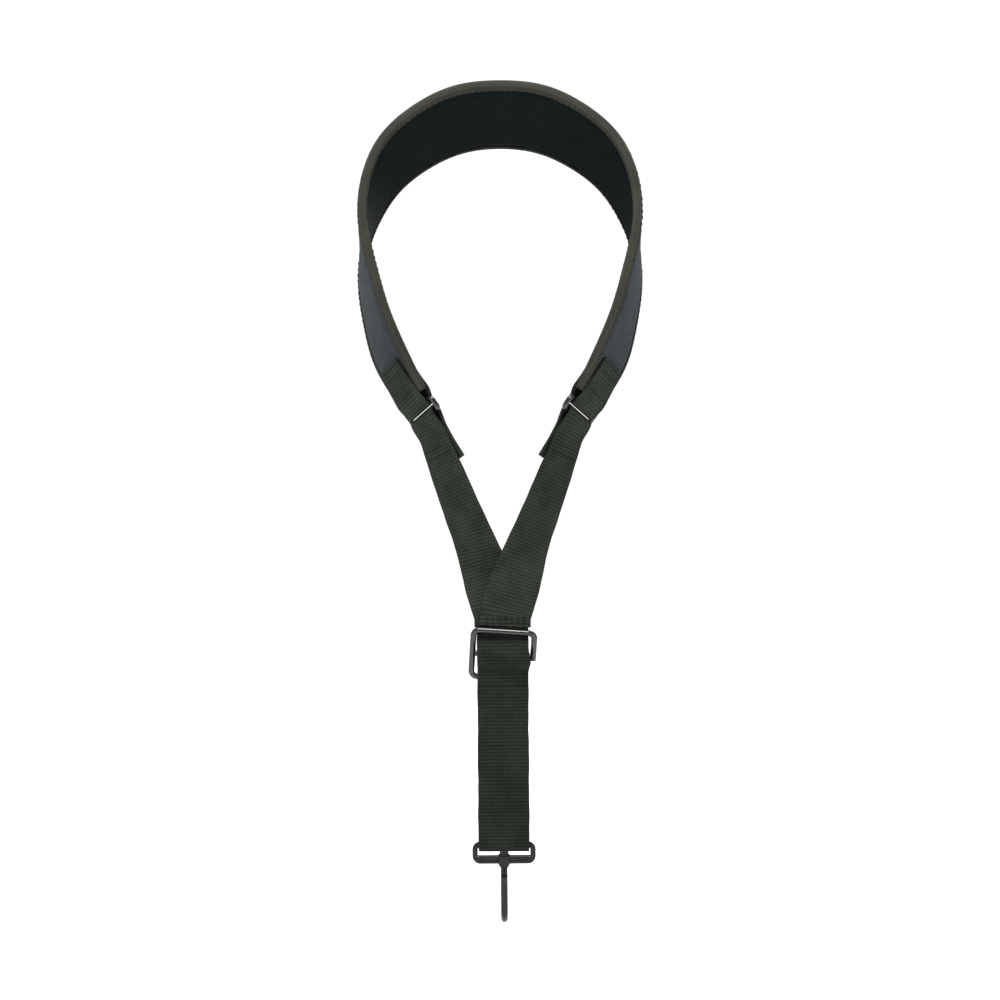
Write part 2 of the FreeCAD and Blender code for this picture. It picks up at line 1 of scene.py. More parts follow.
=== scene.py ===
import math
import bpy
import numpy as np
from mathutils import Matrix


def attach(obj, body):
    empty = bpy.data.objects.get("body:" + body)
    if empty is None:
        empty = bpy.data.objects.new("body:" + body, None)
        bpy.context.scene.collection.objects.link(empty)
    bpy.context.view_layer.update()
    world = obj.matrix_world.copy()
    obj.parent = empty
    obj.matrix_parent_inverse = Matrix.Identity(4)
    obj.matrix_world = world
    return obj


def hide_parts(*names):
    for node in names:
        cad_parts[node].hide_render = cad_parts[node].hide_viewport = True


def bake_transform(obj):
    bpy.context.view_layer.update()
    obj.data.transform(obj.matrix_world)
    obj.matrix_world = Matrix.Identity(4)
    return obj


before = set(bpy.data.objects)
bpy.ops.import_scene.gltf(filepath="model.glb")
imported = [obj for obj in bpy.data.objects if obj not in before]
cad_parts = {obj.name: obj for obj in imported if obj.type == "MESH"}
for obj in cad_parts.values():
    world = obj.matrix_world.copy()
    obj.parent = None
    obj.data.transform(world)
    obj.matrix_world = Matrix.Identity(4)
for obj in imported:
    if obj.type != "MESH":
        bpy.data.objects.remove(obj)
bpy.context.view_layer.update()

MM = 0.001
UP = np.array([0.0, 0.0, 1.0])
ACROSS_X = np.array([1.0, 0.0, 0.0])

# ---------------------------------------------------------------- sizes, in millimetres

WEB_WIDTH = 25.4
WEB_THICK = 1.4
RIB_PITCH = 1.7
RIB_HEIGHT = 0.17
ROW_STEP = 0.31
WEB_COLUMNS = 20
CROSS_THREAD_PITCH = 1.15
FIT_GAP = 0.1

# From the top of the arch down one arm: (x, z) at the near edge, (x, z) at the far edge, and half
# the depth.
PAD_STATIONS = [
    (0.0, 8.5, 0.0, -2.1, 29.8),
    (20.3, 6.3, 19.4, -4.5, 29.8),
    (39.0, -2.4, 36.9, -12.3, 29.5),
    (54.4, -16.2, 52.0, -24.2, 29.0),
    (62.7, -35.1, 62.9, -40.0, 28.5),
    (64.1, -55.2, 69.8, -58.3, 27.5),
    (59.9, -75.3, 71.2, -77.9, 26.0),
    (54.5, -94.2, 68.0, -98.6, 23.0),
    (46.8, -112.5, 61.6, -119.8, 17.8),
    (37.8, -131.3, 48.3, -140.5, 11.4),
]
PAD_ROWS = 300
PAD_COLUMNS = 44
CORE_HALF = 1.15
SKIN_OUT = 1.78
BINDING_OUT = 2.27
BINDING_REACH = 3.2
BINDING_THICK = 0.5
BINDING_ROUND = 1.9
BINDING_PRESS = 0.14
SEAM_SHARE = 0.70
STITCH_PITCH = 2.9
STITCHES_ACROSS = 7
ACROSS_PITCH = 3.0

RING_GAP = 5.0
TAB_REACH = 20.0
RING_WIRE = 2.6
RING_SPACING = 6.1
RING_FOLD = RING_WIRE / 2 + FIT_GAP + WEB_THICK / 2 + 0.08
VEE_ACROSS = np.array([0.76, -0.60, 0.27])
VEE_REACH = 63.0
VEE_AIM = np.array([-11.6, 0, -212.0])
STACK_MIDDLE = 0.4
STACK_LAY = 0.78
SLIDER_MIDDLE = (0.0, -262.4)
SLIDER_LEAN = (2.075, 11.77)
SLIDER_WIRE = 3.0
SLIDER_WRAP = SLIDER_WIRE / 2 + FIT_GAP + WEB_THICK / 2
LOOP_BAR_Z = -355.7
LOOP_SLEEVE = 4.0
STACK_END = -248.2
UPPER_END = -252.0
LOWER_START = -278.0
FOLD_START = -351.0

# ---------------------------------------------------------------- stage, in metres

FLOOR_HEIGHT = -0.47
WORLD_LIGHT = 0.43
WORLD_SEEN_EXTRA = 0.62
LIGHT_AIM = np.array([0, 0, -0.2])
CAMERA_PLACE = (-0.00085, -0.548, -0.186)
CAMERA_ROLL_DEGREES = 0.38


# ---------------------------------------------------------------- geometry helpers


def unit(vector):
    return vector / np.linalg.norm(vector)


def flip_x(vector):
    """The same vector on the other side of the strap."""
    return vector * np.array([-1, 1, 1])


def natural_cubic(values, places):
    """Values at fractional station numbers, on a smooth curve through evenly numbered stations."""
    values = np.asarray(values, float)
    count = len(values)
    system = np.eye(count)
    right = np.zeros_like(values)
    for row in range(1, count - 1):
        system[row, row - 1:row + 2] = (1, 4, 1)
        right[row] = 6 * (values[row + 1] - 2 * values[row] + values[row - 1])
    bend = np.linalg.solve(system, right)
    index = np.clip(places.astype(int), 0, count - 2)
    after = (places - index)[:, None]
    before = 1 - after
    curve = values[index] * before + values[index + 1] * after
    curve += ((before ** 3 - before) * bend[index] + (after ** 3 - after) * bend[index + 1]) / 6
    return curve


def resample(points, step):
    """A smooth run through given points, cut into even steps.

    Each row may hold more than x, y, z.
    """
    points = np.asarray(points, float)
    gaps = np.linalg.norm(np.diff(points[:, :3], axis=0), axis=1)
    reach = np.concatenate([[0], np.cumsum(gaps)])
    slopes = np.gradient(points, reach, axis=0)
    wanted = np.linspace(0, reach[-1], max(4, int(round(reach[-1] / step)) + 1))
    index = np.clip(np.searchsorted(reach, wanted, side="right") - 1, 0, len(points) - 2)
    width = gaps[index][:, None]
    t = ((wanted - reach[index]) / gaps[index])[:, None]
    first = (2 * t ** 3 - 3 * t ** 2 + 1) * points[index]
    curve = first + (t ** 3 - 2 * t ** 2 + t) * width * slopes[index]
    second = (3 * t ** 2 - 2 * t ** 3) * points[index + 1]
    curve += second + (t ** 3 - t ** 2) * width * slopes[index + 1]
    return curve, wanted


def frames_along(centres, across):
    """Unit along, across and outward directions at each centre."""
    along = np.gradient(centres, axis=0)
    along /= np.linalg.norm(along, axis=1)[:, None]
    out = np.cross(along, across)
    out /= np.linalg.norm(out, axis=1)[:, None]
    return along, np.cross(out, along), out


def add_mesh(name, verts, faces, uv=None):
    """A smooth-shaded mesh piece, from millimetres."""
    mesh = bpy.data.meshes.new(name)
    mesh.from_pydata((np.asarray(verts) * MM).tolist(), [], faces)
    if uv is not None:
        layer = mesh.uv_layers.new(name="weave")
        corner = np.empty(len(mesh.loops), dtype=np.int32)
        mesh.loops.foreach_get("vertex_index", corner)
        layer.data.foreach_set("uv", (np.asarray(uv)[corner] * MM * 100).ravel())
    mesh.polygons.foreach_set("use_smooth", [True] * len(mesh.polygons))
    mesh.validate()
    mesh.update()
    piece = bpy.data.objects.new(name, mesh)
    bpy.context.scene.collection.objects.link(piece)
    return piece


def tube_faces(rows, loop):
    """Quads between successive closed outlines."""
    faces = []
    for row in range(rows - 1):
        for column in range(loop):
            after = (column + 1) % loop
            low = row * loop
            high = low + loop
            faces.append((low + column, low + after, high + after, high + column))
    return faces


def end_caps(rows, half, loop):
    """Quads that close both ends of a strap: its outline is a top run and a matching bottom run."""
    faces = []
    for start, flip in ((0, False), ((rows - 1) * loop, True)):
        for column in range(half - 1):
            low = start + column
            high = start + loop - 1 - column
            quad = (low, high, high - 1, low + 1)
            faces.append(quad[::-1] if flip else quad)
    return faces


def skin(name, centres, directions, outline_rows, uv_rows):
    """A closed strap whose outline may differ in each row: outline points are (across, out)."""
    _, across, out = directions
    loop = outline_rows.shape[1]
    verts = centres[:, None] + across[:, None] * outline_rows[..., :1]
    verts = verts + out[:, None] * outline_rows[..., 1:]
    rows = len(centres)
    faces = tube_faces(rows, loop) + end_caps(rows, loop // 2, loop)
    return add_mesh(name, verts.reshape(-1, 3), faces, uv=uv_rows.reshape(-1, 2))


def strap_outline(width, thick, columns):
    """(across, out) of a strap's outline: a top run, then the bottom run back, with round edges."""
    half = width / 2
    edge = thick / 2
    turns = np.radians(np.linspace(90, 0, 4)[1:-1])
    flat = np.linspace(-half + edge, half - edge, columns)
    rounded = half - edge + edge * np.cos(turns)
    run = np.concatenate([-rounded[::-1], flat, rounded])
    height = edge * np.concatenate([np.sin(turns)[::-1], np.ones(columns), np.sin(turns)])
    top = np.stack([run, height], axis=1)
    bottom = np.stack([run, -height], axis=1)[::-1]
    return np.concatenate([top, bottom])


def webbing(name, points, step=ROW_STEP, ribs=1.0):
    """Ribbed nylon webbing along (x, y, z, across x, across y, across z) points."""
    run, reach = resample(points, step)
    directions = frames_along(run[:, :3], run[:, 3:6])
    outline = strap_outline(WEB_WIDTH, WEB_THICK, WEB_COLUMNS)
    rows = np.repeat(outline[None], len(reach), axis=0)
    side = np.sign(outline[:, 1])
    spread = np.abs(outline[:, 0]) / (WEB_WIDTH / 2)
    selvedge = np.clip((spread - 0.86) / 0.05, 0, 1)
    groove = np.exp(-((spread - 0.87) / 0.018) ** 2) * 0.10
    wave = np.abs(np.cos(math.pi * reach / RIB_PITCH))[:, None]
    slant = outline[:, 0][None] / 2.3 + reach[:, None] / (2 * RIB_PITCH)
    twill = 0.5 + 0.5 * np.cos(2 * math.pi * slant)
    relief = RIB_HEIGHT * ribs * (wave * (0.75 + 0.25 * twill) - 1) * (1 - 0.7 * selvedge)
    rows[..., 1] += side * (relief - groove)
    waver = 0.10 * np.sin(reach * 0.21 + 0.7) + 0.06 * np.sin(reach * 0.53)
    rows[..., 0] += waver[:, None] * spread * np.sign(outline[:, 0])
    uv = np.stack(np.broadcast_arrays(outline[:, 0][None], reach[:, None]), axis=-1)
    return skin(name, run[:, :3], directions, rows, uv)


def arc(centre, first, second, radius, start, end, count):
    """Points on an arc in the plane of two directions, from start to end degrees."""
    angles = np.radians(np.linspace(start, end, count))[:, None]
    return centre + radius * (np.cos(angles) * first + np.sin(angles) * second)


def with_across(points, across):
    """The points, each followed by its cross direction."""
    points = np.atleast_2d(points)
    return np.concatenate([points, np.repeat(np.atleast_2d(across), len(points), axis=0)], axis=1)


def flat_run(points):
    """Points of a strap that lies across X, from (y, z)."""
    points = np.asarray(points, float)
    return with_across(np.column_stack([np.zeros(len(points)), points]), ACROSS_X)


def thread(centre, along, out, length, radius):
    """Verts and faces of one stitch: a short capsule that dips into the cloth at both ends."""
    side = np.cross(along, out)
    verts = []
    rings = np.linspace(-1, 1, 7)
    for place in rings:
        swell = math.sqrt(max(0.0, 1 - abs(place) ** 3)) * 0.9 + 0.1
        dip = -0.28 * place ** 4
        middle = centre + along * (place * length / 2) + out * (radius * 0.55 + dip)
        for turn in range(6):
            angle = turn * math.pi / 3
            verts.append(middle + (side * math.cos(angle) + out * math.sin(angle)) * radius * swell)
    faces = tube_faces(len(rings), 6)
    faces.append(tuple(range(5, -1, -1)))
    faces.append(tuple(range(36, 42)))
    return verts, faces


def seam(name, spots, length=2.3, radius=0.27):
    """A row of stitches, from (centre, along, out) triples."""
    verts = []
    faces = []
    for centre, along, out in spots:
        new_verts, new_faces = thread(centre, along, out, length, radius)
        base = len(verts)
        verts += new_verts
        faces += [tuple(index + base for index in face) for face in new_faces]
    return add_mesh(name, verts, faces)


# ---------------------------------------------------------------- materials


def principled(name):
    material = bpy.data.materials.new(name)
    material.use_nodes = True
    return material, material.node_tree.nodes, material.node_tree.links, \
        material.node_tree.nodes["Principled BSDF"]


def noise(nodes, links, vector, scale, detail, roughness=0.6):
    node = nodes.new("ShaderNodeTexNoise")
    node.inputs["Scale"].default_value = scale
    node.inputs["Detail"].default_value = detail
    node.inputs["Roughness"].default_value = roughness
    links.new(vector, node.inputs["Vector"])
    return node.outputs["Fac"]


def math_node(nodes, links, operation, first, second):
    node = nodes.new("ShaderNodeMath")
    node.operation = operation
    for socket, value in zip(node.inputs, (first, second)):
        if isinstance(value, (int, float)):
            socket.default_value = value
        else:
            links.new(value, socket)
    return node.outputs[0]


def ramp(nodes, links, factor, stops):
    node = nodes.new("ShaderNodeValToRGB")
    while len(node.color_ramp.elements) < len(stops):
        node.color_ramp.elements.new(0.5)
    for element, (place, colour) in zip(node.color_ramp.elements, stops):
        element.position = place
        element.color = (*colour, 1)
    links.new(factor, node.inputs["Fac"])
    return node.outputs["Color"]


def wave(nodes, links, vector, axis, pitch):
    """Threads side by side at a pitch, as 0 to 1 across each."""
    node = nodes.new("ShaderNodeTexWave")
    node.wave_type = "BANDS"
    node.bands_direction = axis
    node.inputs["Scale"].default_value = math.pi / 10 / pitch
    node.inputs["Distortion"].default_value = 0
    links.new(vector, node.inputs["Vector"])
    return node.outputs["Fac"]


def shades(colour, spread):
    low = tuple(channel * (1 - spread) for channel in colour)
    high = tuple(channel * (1 + spread) for channel in colour)
    return low, high


def cloth(name, colour, spread, axes, pitches, heights, roughness, sheen, source):
    """Woven or knitted cloth: two sets of threads, blotches, fuzz and sheen."""
    material, nodes, links, shader = principled(name)
    coordinates = nodes.new("ShaderNodeTexCoord")
    if source == "weave":
        layer = nodes.new("ShaderNodeUVMap")
        layer.uv_map = "weave"
        scaled = nodes.new("ShaderNodeMapping")
        scaled.inputs["Scale"].default_value = (0.01, 0.01, 0.01)
        links.new(layer.outputs["UV"], scaled.inputs["Vector"])
        vector = scaled.outputs["Vector"]
    else:
        vector = coordinates.outputs["Object"]
    solid = coordinates.outputs["Object"]
    first = wave(nodes, links, vector, axes[0], pitches[0])
    second = wave(nodes, links, vector, axes[1], pitches[1])
    blotch = noise(nodes, links, solid, 70, 5)
    fuzz = noise(nodes, links, solid, 2600, 3, 0.7)
    woven = math_node(nodes, links, "MULTIPLY", first, second)
    mixed = math_node(nodes, links, "ADD", math_node(nodes, links, "MULTIPLY", blotch, 0.40),
                      math_node(nodes, links, "MULTIPLY", fuzz, 0.35))
    tone = math_node(nodes, links, "ADD", mixed, math_node(nodes, links, "MULTIPLY", woven, 0.35))
    low, high = shades(colour, spread)
    links.new(ramp(nodes, links, tone, ((0.30, low), (0.72, high))), shader.inputs["Base Color"])
    rough = math_node(nodes, links, "ADD", math_node(nodes, links, "MULTIPLY", fuzz, 0.16),
                      roughness - 0.08)
    links.new(rough, shader.inputs["Roughness"])
    bumps = math_node(nodes, links, "ADD", math_node(nodes, links, "MULTIPLY", first, heights[0]),
                      math_node(nodes, links, "MULTIPLY", second, heights[1]))
    bumps = math_node(nodes, links, "ADD", bumps, math_node(nodes, links, "MULTIPLY", fuzz, 0.35))
    bump = nodes.new("ShaderNodeBump")
    bump.inputs["Strength"].default_value = 0.8
    bump.inputs["Distance"].default_value = 0.00012
    links.new(bumps, bump.inputs["Height"])
    links.new(bump.outputs["Normal"], shader.inputs["Normal"])
    shader.inputs["Sheen Weight"].default_value = sheen
    shader.inputs["Sheen Roughness"].default_value = 0.45
    shader.inputs["Sheen Tint"].default_value = (0.75, 0.82, 0.78, 1)
    shader.inputs["Specular IOR Level"].default_value = 0.04
    return material


def gloss_black(name, coat, level):
    """Black lacquer over wire: a little orange peel, fine rubs and a clear coat."""
    material, nodes, links, shader = principled(name)
    solid = nodes.new("ShaderNodeTexCoord").outputs["Object"]
    peel = noise(nodes, links, solid, 420, 2)
    rub = noise(nodes, links, solid, 190, 6, 0.75)
    stops = ((0.35, (0.005, 0.0052, 0.0055)), (0.66, (0.009, 0.009, 0.0095)),
             (0.80, (0.030, 0.029, 0.028)))
    colour = ramp(nodes, links, rub, stops)
    links.new(colour, shader.inputs["Base Color"])
    rough = math_node(nodes, links, "ADD", math_node(nodes, links, "MULTIPLY", rub, 0.22), 0.13)
    links.new(rough, shader.inputs["Roughness"])
    bump = nodes.new("ShaderNodeBump")
    bump.inputs["Strength"].default_value = 0.25
    bump.inputs["Distance"].default_value = 0.00008
    links.new(peel, bump.inputs["Height"])
    links.new(bump.outputs["Normal"], shader.inputs["Normal"])
    shader.inputs["Coat Weight"].default_value = coat
    shader.inputs["Coat Roughness"].default_value = 0.08
    shader.inputs["Specular IOR Level"].default_value = level
    return material


def make_materials():
    """Every material, by the short name that the pieces use."""
    web = (0.0160, 0.0198, 0.0146)
    # Painted shade: a copy of the same webbing at 0.62 of its colour, so that the lower part of the
    # strap looks darker, as if less lit.
    shaded_web = tuple(0.62 * channel for channel in web)
    web_pitch = (RIB_PITCH * MM, CROSS_THREAD_PITCH * MM)
    return {
        "webbing": cloth("webbing", web, 0.65, "YX", web_pitch,
                         (0.6, 1.0), 0.74, 0.03, "weave"),
        "hanging": cloth("webbing_hanging", web, 0.65, "ZX", web_pitch,
                         (1.2, 1.0), 0.74, 0.03, "object"),
        # The webs through the slider and the hanging web: the webbing with painted shade.
        "drop": cloth("webbing_drop_painted_shade", shaded_web, 0.65, "YX", web_pitch,
                      (0.6, 1.0), 0.74, 0.03, "weave"),
        "cover": cloth("pad_cover_knit", (0.0225, 0.0270, 0.0310), 0.38, "XY",
                       (0.7 * MM, 0.9 * MM), (0.5, 0.45), 0.82, 0.05, "weave"),
        "lining": cloth("pad_lining_knit", (0.0022, 0.0050, 0.0045), 0.5, "XY",
                        (0.9 * MM, 0.7 * MM), (0.5, 0.5), 0.9, 0.0, "weave"),
        "binding": cloth("binding_tape", (0.0260, 0.0260, 0.0205), 0.35, "YX",
                         (0.8 * MM, 0.5 * MM), (0.8, 0.4), 0.75, 0.03, "weave"),
        "thread": cloth("thread", (0.0120, 0.0140, 0.0115), 0.3, "XZ",
                        (0.35 * MM, 0.35 * MM), (0.5, 0.5), 0.6, 0.0, "object"),
        "foam": cloth("foam", (0.03, 0.03, 0.03), 0.3, "XY", (0.9 * MM, 0.9 * MM),
                      (0.4, 0.4), 0.9, 0.0, "object"),
        "metal": gloss_black("black_lacquer", 0.10, 0.10),
        "wire": gloss_black("black_lacquer_wire", 0.4, 0.3),
    }


def finish_piece(piece, material, slot, body, *nodes):
    """Material, body and the CAD nodes that the piece stands for; the slot is not used."""
    piece.data.materials.clear()
    piece.data.materials.append(material)
    if body:
        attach(piece, body)
    if nodes:
        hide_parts(*nodes)
    return piece


# ---------------------------------------------------------------- pad


def both_arms(edge):
    """An edge's points from one arm's end over the arch to the other's."""
    return edge[::-1] + [flip_x(np.array(point)) for point in edge[1:]]


def pad_run():
    """Centres, directions, half width and distance along the pad, right end to left end."""
    near = []
    far = []
    for near_x, near_z, far_x, far_z, depth in PAD_STATIONS:
        near.append((near_x, -depth, near_z))
        far.append((far_x, depth, far_z))
    places = np.linspace(0, 2 * len(near) - 2, PAD_ROWS)
    near_curve = natural_cubic(both_arms(near), places)
    far_curve = natural_cubic(both_arms(far), places)
    centres = (near_curve + far_curve) / 2
    half = np.linalg.norm(near_curve - far_curve, axis=1) / 2
    directions = frames_along(centres, near_curve - far_curve)
    reach = np.concatenate([[0], np.cumsum(np.linalg.norm(np.diff(centres, axis=0), axis=1))])
    return centres, directions, half, reach


def pad_skin(name, run, side):
    """The cover (side 1) or the lining (side -1): crowned, and pulled in at the bindings."""
    centres, directions, half, reach = run
    fraction = np.linspace(-1, 1, PAD_COLUMNS)
    inner = (half - 0.75)[:, None]
    across = inner * fraction
    from_edge = inner * (1 - np.abs(fraction))
    swell = np.clip((from_edge - 2.3) / 5.0, 0, 1)
    swell = swell * swell * (3 - 2 * swell)
    ends = np.clip(np.minimum(reach, reach[-1] - reach) / 16, 0, 1)[:, None]
    rumple = 0.10 * np.sin(reach * 0.37)[:, None] * np.cos(across * 0.16 + 0.6)
    rumple = rumple + 0.07 * np.sin(reach * 0.81 + 1.1)[:, None] * np.sin(across * 0.3)
    if side < 0:
        fold = np.exp(-((from_edge - 9) / 5) ** 2) * np.abs(np.sin(reach * 0.29))[:, None] ** 6
        rumple = rumple * 1.3 - 0.22 * fold
    outer = SKIN_OUT - 0.06 + swell * ends * (0.6 + rumple)
    inside = np.full_like(outer, CORE_HALF + 0.02)
    top = np.stack([across, side * outer], axis=-1)
    bottom = np.stack([across, side * inside], axis=-1)[:, ::-1]
    rows = np.concatenate([top, bottom], axis=1)
    if side < 0:
        rows = rows[:, ::-1]
    uv = np.stack(np.broadcast_arrays(rows[..., 0], reach[:, None]), axis=-1)
    return skin(name, centres, directions, rows, uv)


def binding(name, run, side):
    """Tape folded round an edge: full over the edge, pressed flat where it is sewn."""
    centres, directions, half, reach = run
    lay = np.linspace(1, 0, 9)
    angle = np.radians(np.linspace(90, -90, 11))[1:-1]
    waver = 0.12 * np.sin(reach * 0.17) + 0.08 * np.sin(reach * 0.49 + 2)
    rows = []
    for shell, height in ((0, BINDING_OUT), (BINDING_THICK, BINDING_OUT - BINDING_THICK)):
        corner = max(BINDING_ROUND - shell, 0.5)
        press = BINDING_PRESS * np.exp(-((lay - SEAM_SHARE) / 0.2) ** 2)
        press = press + 0.08 * np.clip((lay - 0.85) / 0.15, 0, 1)
        flat_start = corner + (BINDING_REACH - corner) * lay
        inward = np.concatenate([flat_start, corner * (1 - np.cos(angle)), flat_start[::-1]])
        up = np.concatenate([height - press, (height - corner) * np.sign(np.sin(angle)) +
                             corner * np.sin(angle), -(height - press)[::-1]])
        rows.append(np.stack([inward + shell * (inward < corner * 0.999), up], axis=-1))
    profile = np.concatenate([rows[0], rows[1][::-1]])
    outline = np.repeat(profile[None], len(reach), axis=0)
    far_enough = np.clip(profile[:, 0] / BINDING_REACH, 0, 1)[None]
    inward = outline[..., 0] + waver[:, None] * far_enough ** 3
    outline[..., 0] = side * (half[:, None] - inward)
    pucker = 0.06 * np.sin(reach * 2 * math.pi / STITCH_PITCH)[:, None] * far_enough
    outline[..., 1] += pucker * np.sign(profile[:, 1])
    if side < 0:
        outline = outline[:, ::-1]
    uv = np.stack(np.broadcast_arrays(profile[:, 0][None], reach[:, None]), axis=-1)
    return skin(name, centres, directions, outline, uv)


def edge_seam(name, run, side):
    """Two rows of stitches that hold a binding: one on the cover's side, one on the lining's."""
    centres, directions, half, reach = run
    along, across, out = directions
    spots = []
    count = int(reach[-1] // STITCH_PITCH)
    for index in range(1, count):
        place = index * STITCH_PITCH
        row = int(np.searchsorted(reach, place))
        share = (place - reach[row - 1]) / (reach[row] - reach[row - 1])
        middle = centres[row - 1] * (1 - share) + centres[row] * share
        edge = side * (half[row] - BINDING_REACH * SEAM_SHARE)
        for face in (1, -1):
            height = face * (BINDING_OUT - BINDING_PRESS)
            spot = middle + across[row] * edge + out[row] * height
            spots.append((spot, along[row], out[row] * face))
    return seam(name, spots, length=2.1, radius=0.22)


def make_pad(materials, run):
    for kind, side in (("cover", 1), ("lining", -1)):
        piece = pad_skin(f"{kind}_cloth", run, side)
        finish_piece(piece, materials[kind], kind, "strap", f"pad_{kind}")
    for name, side in (("near", 1), ("far", -1)):
        tape = binding(f"edge_tape_{name}", run, side)
        finish_piece(tape, materials["binding"], "binding", "strap", f"binding_{name}")
        row = edge_seam(f"edge_seam_{name}", run, side)
        finish_piece(row, materials["thread"], "thread", "strap")


# ---------------------------------------------------------------- tabs and front webs


def arm_end(run):
    """Centre, along, across and out at the left arm's end."""
    centres, directions, _, _ = run
    along, across, out = directions
    return centres[-1], along[-1], across[-1], out[-1]


def mirror(points):
    """The same points on the right arm."""
    points = np.array(points, float)
    points[:, 0] *= -1
    points[:, 4:6] *= -1
    return points


def tab_points(run):
    """From over the arm's end, round the ring's upper bar and back under the arm's end."""
    centres, directions, _, reach = run
    centre, along, across, out = arm_end(run)
    bar = centre + along * RING_GAP
    lay = BINDING_OUT + WEB_THICK / 2 + 0.1
    fold = with_across(arc(bar, out, along, RING_FOLD, -10, 190, 13), across)
    back = np.array([TAB_REACH, TAB_REACH * 0.66, TAB_REACH * 0.33, 0.5])
    held = np.searchsorted(reach, reach[-1] - back)
    over = np.hstack([centres[held] + directions[2][held] * lay, directions[1][held]])
    under = np.hstack([centres[held] - directions[2][held] * lay, directions[1][held]])
    return np.vstack([over, fold, under[::-1]])


def twisted(across, reach):
    """The cross direction of a front web, which turns evenly from its ring to the crossing."""
    return unit(across + (VEE_ACROSS - across) * (reach / VEE_REACH))


def web_points(run, side):
    """From the sewn tail, round the ring's lower bar and down to the stack above the slider."""
    centre, along, ring_across, _ = arm_end(run)
    bar = centre + along * (RING_GAP + RING_SPACING)
    down = unit(VEE_AIM - bar)
    out = unit(np.cross(down, ring_across))
    back = unit(np.cross(out, ring_across))
    web_across = unit(np.cross(np.cross(down, ring_across), down))
    fold = with_across(arc(bar, out, back, RING_FOLD, 184, -12, 13), ring_across)
    tail = []
    for reach, gap, slack in ((26.0, 2.0, 2.4), (17.0, 1.6, 1.2), (10.0, 1.55, 0.4)):
        turned = twisted(web_across, reach)
        inward = -unit(np.cross(down, turned))
        tail.append(np.concatenate([bar + down * reach + inward * gap + turned * slack, turned]))
    near = [np.concatenate([bar + down * reach, twisted(web_across, reach)])
            for reach in (10, 16, 23, 36, 50)]
    depth = 1 if side == "left" else -1
    lean = np.array([
        (-14.1, 0.4 + 0.6 * depth, -205.0, 0.76, -0.60, 0.27),
        (-10.1, 0.6 + 2.0 * depth, -216.0, 0.88, -0.42, 0.22),
        (-7.0, 0.6 + 2.0 * depth, -225.0, 0.97, -0.20, 0.12),
        (-4.2, 0.5 + 1.2 * depth, -234.0, 1.0, -0.04, 0.02),
        (-1.7, STACK_MIDDLE + STACK_LAY * depth, -243.0, 1.0, 0.0, 0.0),
        (-1.4, STACK_MIDDLE + STACK_LAY * depth, STACK_END, 1.0, 0.0, 0.0),
    ])
    points = np.vstack([tail, fold, near, lean])
    points = points if side == "left" else mirror(points)
    return points, bar, down


def crease(piece, folds, spread=False, front_only=False):
    """Push a hanging web along Y at slanted folds, or widen its +X half there.

    Each fold is (height, slope, width, amount).
    """
    count = len(piece.data.vertices)
    spots = np.empty(count * 3)
    piece.data.vertices.foreach_get("co", spots)
    spots = spots.reshape(-1, 3) / MM
    moved = spots.copy()
    for height, slope, width, amount in folds:
        share = np.exp(-((spots[:, 2] - height - slope * spots[:, 0]) / width) ** 2)
        if front_only:
            share = share * (spots[:, 1] < 1.6)
        if spread:
            moved[:, 0] += amount * share * np.clip(spots[:, 0] / (WEB_WIDTH / 2), 0, 1)
        else:
            moved[:, 1] += amount * share
    piece.data.vertices.foreach_set("co", (moved * MM).reshape(-1))
    piece.data.update()


def cross_seam(name, spots_at):
    """Rows of stitches across a strap, from (centre, across, out) rows."""
    spots = []
    for centre, across, out in spots_at:
        for index in range(STITCHES_ACROSS):
            offset = (index - (STITCHES_ACROSS - 1) / 2) * ACROSS_PITCH
            spots.append((centre + across * offset, across, out))
    return seam(name, spots)


def tab_rows(run):
    """Where the rows of stitches across a tab lie: just inside its end and near the ring."""
    centres, directions, _, reach = run
    _, across, out = directions
    rows = []
    for back in (TAB_REACH - 2.0, TAB_REACH - 5.0, 4.0):
        row = int(np.searchsorted(reach, reach[-1] - back))
        spot = centres[row] + out[row] * (BINDING_OUT + WEB_THICK + 0.12)
        rows.append((spot, across[row], out[row]))
    return rows


def tail_rows(bar, down, ring_across):
    """Where the rows of stitches through a web and its tail lie."""
    out = unit(np.cross(down, ring_across))
    web_across = unit(np.cross(out, down))
    rows = []
    for reach in (7.0, 16.0, 20.0):
        turned = twisted(web_across, reach)
        face_out = unit(np.cross(down, turned))
        rows.append((bar + down * reach + face_out * 0.74, turned, face_out))
    return rows


def make_arm(materials, run, side):
    """One arm's tab, web and their sewing."""
    turn = np.array if side == "left" else flip_x
    points = tab_points(run)
    tab = webbing(f"tab_web_{side}", points if side == "left" else mirror(points))
    finish_piece(tab, materials["webbing"], "webbing", "strap", f"tab_{side}")
    points, bar, down = web_points(run, side)
    web = webbing(f"front_strap_{side}", points)
    finish_piece(web, materials["webbing"], "webbing", None,
                 f"front_web_{side}", f"web_loop_{side}")
    start = turn(bar + down * 14) * MM
    end = turn(bar) * MM
    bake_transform(web)
    _, _, across, _ = arm_end(run)
    for part, rows in (("tab", tab_rows(run)), ("tail", tail_rows(bar, down, across))):
        rows = [tuple(turn(vector) for vector in row) for row in rows]
        seam_piece = cross_seam(f"{part}_seam_{side}", rows)
        finish_piece(seam_piece, materials["thread"], "thread", "strap", f"{part}_stitch_{side}")


# ---------------------------------------------------------------- slider, drop web and hook


def slider_places():
    """(y, z) of the slider's top, middle and bottom bars."""
    middle = np.array(SLIDER_MIDDLE)
    lean = np.array([-SLIDER_LEAN[0], SLIDER_LEAN[1]])
    return middle + lean, middle, middle - lean


